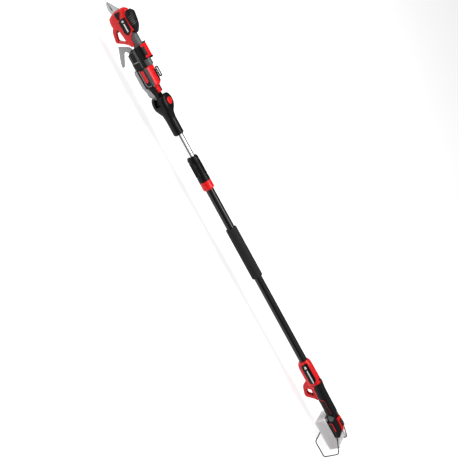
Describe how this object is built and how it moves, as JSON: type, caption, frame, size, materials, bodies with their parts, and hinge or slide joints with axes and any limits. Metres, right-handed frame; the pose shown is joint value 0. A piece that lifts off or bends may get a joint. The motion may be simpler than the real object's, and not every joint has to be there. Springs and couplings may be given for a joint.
{
  "type": "telescoping pole pruner",
  "caption": "Cordless telescoping pole pruner: bypass blades on a tilting clamp head, two-tube pole, rear handle with battery and stand.",
  "frame": {"origin": "bottom centre of the whole tool, under the pole, with the pole retracted", "axes": "+X along the pole towards the blades, +Y to the tool's left, +Z to its top"},
  "size_m": [1.8285, 0.1092, 0.1665],
  "materials": {
    "red_plastic": "satin moulded plastic",
    "black_plastic": "fine moulded texture",
    "soft_black": "soft overmould",
    "black_tube": "gloss black coating",
    "silver_tube": "bright drawn",
    "foam": "closed-cell foam",
    "light_grey_plastic": "matt",
    "dark_grey_plastic": "satin",
    "blade_steel": "ground",
    "wire_steel": "satin dark grey",
    "pale_plastic": "plain",
    "battery_plastic": "translucent",
    "board": "solder mask",
    "cell": "shrink sleeve"
  },
  "bodies": {
    "rear_unit": {"outer_tube": "black_tube", "foam_grip": "foam", "lock_collar": "red_plastic", "lock_collet": "pale_plastic", "rear_shell_left": "red_plastic", "rear_shell_right": "red_plastic", "grip_shell_left": "soft_black", "grip_shell_right": "soft_black", "base_shell_left": "black_plastic", "base_shell_right": "black_plastic", "base_cap": "red_plastic", "power_panel": "black_plastic", "charge_lens": "pale_plastic", "rear_switch": "dark_grey_plastic", "control_board": "board", "battery_shoe": "black_plastic", "stand_bail": "wire_steel", "rear_badge": "black_plastic"},
    "lock_nut": {"lock_nut": "black_plastic"},
    "rear_trigger": {"rear_trigger": "black_plastic"},
    "lock_off_button": {"lock_off_button": "black_plastic"},
    "power_button": {"power_button": "dark_grey_plastic"},
    "battery": {"battery_case": "battery_plastic", "battery_rail": "battery_plastic", "cell_block": "cell"},
    "battery_button": {"battery_button": "dark_grey_plastic"},
    "front_pole": {"inner_tube": "silver_tube", "tube_bush": "pale_plastic", "tilt_fork": "black_plastic", "tilt_pin": "blade_steel", "button_spring": "blade_steel"},
    "tilt_button": {"tilt_button": "red_plastic"},
    "head": {"tilt_tongue": "black_plastic", "carrier_tray": "light_grey_plastic", "cable_cover": "red_plastic", "clamp_saddle": "black_plastic", "clamp_cap": "black_plastic", "latch_pin": "blade_steel", "support_hook": "light_grey_plastic", "pruner_shell_left": "red_plastic", "pruner_shell_right": "red_plastic", "motor_cover": "soft_black", "grip_sleeve": "dark_grey_plastic", "pruner_motor": "blade_steel", "pruner_gearbox": "dark_grey_plastic", "pruner_foot": "red_plastic", "battery_adapter": "black_plastic", "adapter_stripe_left": "red_plastic", "adapter_stripe_right": "red_plastic", "lanyard_loop": "black_plastic", "fixed_blade": "blade_steel", "pivot_bolt": "blade_steel", "pivot_cover": "black_plastic", "pruner_switch": "dark_grey_plastic", "pruner_badge": "black_plastic"},
    "latch": {"latch": "red_plastic", "latch_pad": "soft_black"},
    "cutting_blade": {"cutting_blade": "blade_steel"},
    "drive_pinion": {"drive_pinion": "blade_steel"},
    "pruner_trigger": {"pruner_trigger": "black_plastic"}
  },
  "joints": [
    {"name": "telescope_slide", "type": "slide", "parent": "rear_unit", "child": "front_pole", "axis": [1, 0, 0], "range_m": [0, 0.55]},
    {"name": "lock_twist", "type": "hinge", "parent": "rear_unit", "child": "lock_nut", "pos_m": [0.2768, 0, 0.09312], "axis": [1, 0, 0], "range_deg": [0, 90]},
    {"name": "rear_trigger_pull", "type": "hinge", "parent": "rear_unit", "child": "rear_trigger", "pos_m": [-0.6942, 0, 0.06911], "axis": [0, -1, 0], "range_deg": [0, 12], "stiffness_Nm_per_rad": 0.8, "springref_deg": -8.59},
    {"name": "lock_off_press", "type": "slide", "parent": "rear_unit", "child": "lock_off_button", "axis": [0, 0, -1], "range_m": [0, 0.003], "stiffness_N_per_m": 900, "springref_m": -0.001},
    {"name": "power_press", "type": "slide", "parent": "rear_unit", "child": "power_button", "axis": [0, 0, -1], "range_m": [0, 0.001], "stiffness_N_per_m": 900, "springref_m": -0.0005},
    {"name": "battery_slide", "type": "slide", "parent": "rear_unit", "child": "battery", "axis": [-1, 0, 0], "range_m": [0, 0.1]},
    {"name": "battery_release_press", "type": "slide", "parent": "battery", "child": "battery_button", "axis": [0, 0, -1], "range_m": [0, 0.003], "stiffness_N_per_m": 900, "springref_m": -0.001},
    {"name": "head_tilt", "type": "hinge", "parent": "front_pole", "child": "head", "pos_m": [0.5338, 0, 0.09312], "axis": [0, 0, 1], "range_deg": [-60, 60]},
    {"name": "tilt_lock_press", "type": "slide", "parent": "front_pole", "child": "tilt_button", "axis": [0, 0, -1], "range_m": [0, 0.003], "stiffness_N_per_m": 900, "springref_m": -0.001, "deforming": ["button_spring"]},
    {"name": "latch_open", "type": "hinge", "parent": "head", "child": "latch", "pos_m": [0.7158, -0.0115, 0.14061], "axis": [1, 0, 0], "range_deg": [0, 100]},
    {"name": "blade_open", "type": "hinge", "parent": "head", "child": "cutting_blade", "pos_m": [0.8588, 0, 0.10712], "axis": [0, -1, 0], "range_deg": [0, 35]},
    {"name": "pinion_spin", "type": "hinge", "parent": "head", "child": "drive_pinion", "pos_m": [0.8285, 0, 0.10712], "axis": [0, -1, 0], "range_deg": [-141, 0]},
    {"name": "pruner_trigger_pull", "type": "hinge", "parent": "head", "child": "pruner_trigger", "pos_m": [0.8128, 0, 0.09112], "axis": [0, 1, 0], "range_deg": [0, 14], "stiffness_Nm_per_rad": 0.5, "springref_deg": -8.59}
  ],
  "couplings": [
    {"joint": "pinion_spin", "follows": "blade_open", "ratio": -4}
  ]
}
